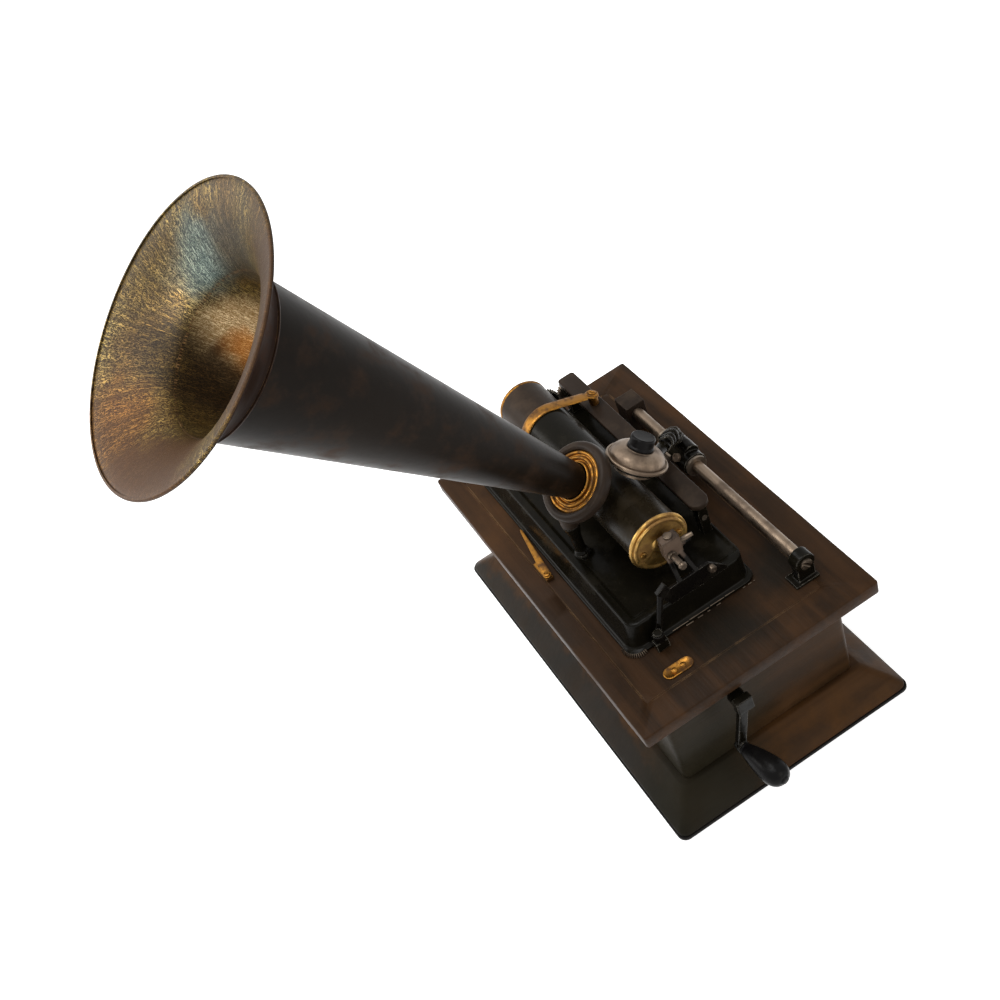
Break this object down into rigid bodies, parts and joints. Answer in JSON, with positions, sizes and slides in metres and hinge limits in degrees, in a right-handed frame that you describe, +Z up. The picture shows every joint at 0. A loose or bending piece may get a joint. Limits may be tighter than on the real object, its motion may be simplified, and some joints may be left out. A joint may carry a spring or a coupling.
{
  "type": "cylinder phonograph",
  "caption": "Spring-driven cylinder phonograph: sloped plinth and case, mandrel with record, sliding sound box, and a tall conical horn with a flared bell.",
  "frame": {"origin": "centre of the base's underside, on the surface it stands on", "axes": "+Z up, +X toward the crank, -Y toward the horn's bell"},
  "size_m": [0.5013, 0.5116, 0.7026],
  "materials": {
    "ebonised_wood": "satin",
    "dark_walnut": "satin",
    "strip_black": "gloss",
    "plain_board": "matte",
    "black_enamel": "gloss",
    "brass": "satin",
    "aged_brass": "brushed",
    "silver_metal": "satin",
    "steel": "satin",
    "spring_steel": "satin",
    "black_wax": "satin",
    "horn_black": "satin",
    "black_rubber": "satin",
    "mica": "gloss",
    "leather_belt": "matte"
  },
  "bodies": {
    "machine": {"base_skirt": "ebonised_wood", "base_strip": "strip_black", "bottom_board": "plain_board", "case_walls": "dark_walnut", "corner_blocks": "plain_board", "deck_board": "dark_walnut", "bedplate": "black_enamel", "rear_housing": "black_enamel", "rear_cap": "brass", "bearing_strap": "brass", "strap_screw": "brass", "straight_edge": "black_enamel", "edge_brackets": "black_enamel", "rear_rod_block": "black_enamel", "guide_rod": "silver_metal", "front_rod_post": "black_enamel", "rod_screw": "silver_metal", "gate_foot": "black_enamel", "lever_block": "brass", "brass_tag": "brass", "shaft_escutcheon": "black_enamel", "motor_plates": "aged_brass", "motor_pillars": "steel", "drive_belt": "leather_belt"},
    "mandrel_line": {"mandrel": "black_enamel", "mandrel_shaft": "steel", "mandrel_pulley": "steel", "record_cylinder": "black_wax", "end_disc": "brass", "end_disc_screws": "steel"},
    "feed_screw_line": {"feed_screw": "steel"},
    "feed_idler_wheel": {"feed_idler": "black_enamel"},
    "carriage": {"carriage_sleeve": "steel"},
    "arm": {"carrier_arm": "black_enamel", "arm_nuts": "silver_metal", "half_nut": "steel", "sound_box": "silver_metal", "sound_box_cup": "silver_metal", "sound_box_stylus": "mica"},
    "knob": {"sound_box_knob": "black_rubber"},
    "post": {"horn_post": "black_enamel", "collar_ring": "black_enamel", "horn_diaphragm": "mica", "horn_stylus": "mica"},
    "bush": {"collar_bush": "brass"},
    "horn": {"horn_cone": "horn_black", "horn_bell": "aged_brass"},
    "gate": {"end_gate": "black_enamel", "gate_centre": "steel"},
    "lever": {"start_lever": "brass"},
    "crank": {"winding_shaft": "steel", "crank_arm": "black_enamel"},
    "grip": {"crank_grip": "black_rubber"},
    "arbor": {"winding_arbor": "steel"},
    "pawl": {"ratchet_pawl": "steel"},
    "barrel": {"spring_barrel": "brass", "mainspring": "spring_steel"},
    "second_arbor": {"intermediate_arbor": "aged_brass"},
    "third_arbor": {"pulley_arbor": "aged_brass"},
    "governor_rotor": {"governor": "aged_brass"}
  },
  "joints": [
    {"name": "crank_turn", "type": "hinge", "parent": "machine", "child": "crank", "pos_m": [0.216, -0.032, 0.134], "axis": [1, 0, 0], "continuous": true},
    {"name": "grip_turn", "type": "hinge", "parent": "crank", "child": "grip", "pos_m": [0.222, -0.046, 0.07699], "axis": [0.9863, 0.165, 0], "continuous": true},
    {"name": "arbor_turn", "type": "hinge", "parent": "machine", "child": "arbor", "pos_m": [-0.06, -0.038, 0.07279], "axis": [1, 0, 0], "continuous": true},
    {"name": "pawl_lift", "type": "hinge", "parent": "machine", "child": "pawl", "pos_m": [-0.06, -0.064, 0.08679], "axis": [-1, 0, 0], "range_deg": [0, 12]},
    {"name": "mandrel_turn", "type": "hinge", "parent": "machine", "child": "mandrel_line", "pos_m": [0, -0.0136, 0.2393], "axis": [1, 0, 0], "continuous": true},
    {"name": "barrel_turn", "type": "hinge", "parent": "machine", "child": "barrel", "pos_m": [-0.08, -0.038, 0.07279], "axis": [1, 0, 0], "continuous": true},
    {"name": "second_turn", "type": "hinge", "parent": "machine", "child": "second_arbor", "pos_m": [-0.08, 0.01636, 0.08238], "axis": [1, 0, 0], "continuous": true},
    {"name": "third_turn", "type": "hinge", "parent": "machine", "child": "third_arbor", "pos_m": [-0.08, 0.00136, 0.10836], "axis": [1, 0, 0], "continuous": true},
    {"name": "governor_turn", "type": "hinge", "parent": "machine", "child": "governor_rotor", "pos_m": [-0.08, 0.02102, 0.12213], "axis": [1, 0, 0], "continuous": true},
    {"name": "idler_turn", "type": "hinge", "parent": "machine", "child": "feed_idler_wheel", "pos_m": [-0.168, 0.00805, 0.2144], "axis": [1, 0, 0], "continuous": true},
    {"name": "feed_turn", "type": "hinge", "parent": "machine", "child": "feed_screw_line", "pos_m": [0, 0.041, 0.2163], "axis": [1, 0, 0], "continuous": true},
    {"name": "carriage_slide", "type": "slide", "parent": "machine", "child": "carriage", "axis": [1, 0, 0], "range_m": [0, 0.045]},
    {"name": "arm_lift", "type": "hinge", "parent": "carriage", "child": "arm", "pos_m": [0, 0.084, 0.1903], "axis": [-1, 0, 0], "range_deg": [0, 50]},
    {"name": "knob_turn", "type": "hinge", "parent": "arm", "child": "knob", "pos_m": [0.036, 0.01332, 0.27952], "axis": [0, 0.5563, 0.831], "continuous": true},
    {"name": "post_swivel", "type": "hinge", "parent": "machine", "child": "post", "pos_m": [0.0226, -0.064, 0.1663], "axis": [0, 0, 1], "range_deg": [0, 20]},
    {"name": "horn_turn", "type": "hinge", "parent": "post", "child": "bush", "pos_m": [0.0226, -0.04747, 0.29027], "axis": [0.0309, -0.5525, 0.8329], "continuous": true},
    {"name": "horn_lift", "type": "slide", "parent": "bush", "child": "horn", "axis": [0.0309, -0.5525, 0.8329], "range_m": [0, 0.06]},
    {"name": "gate_swing", "type": "hinge", "parent": "machine", "child": "gate", "pos_m": [0.1435, -0.0595, 0.1663], "axis": [0, 0, -1], "range_deg": [0, 85]},
    {"name": "lever_turn", "type": "hinge", "parent": "machine", "child": "lever", "pos_m": [-0.0015, -0.1, 0.1663], "axis": [0, 0, 1], "range_deg": [0, 20]}
  ],
  "couplings": [
    {"joint": "arbor_turn", "follows": "crank_turn", "ratio": -0.28125},
    {"joint": "third_turn", "follows": "mandrel_turn", "ratio": 0.8},
    {"joint": "second_turn", "follows": "mandrel_turn", "ratio": -0.2},
    {"joint": "barrel_turn", "follows": "mandrel_turn", "ratio": 0.03},
    {"joint": "governor_turn", "follows": "mandrel_turn", "ratio": -3.2},
    {"joint": "idler_turn", "follows": "mandrel_turn", "ratio": -0.65},
    {"joint": "feed_turn", "follows": "mandrel_turn", "ratio": 1}
  ]
}
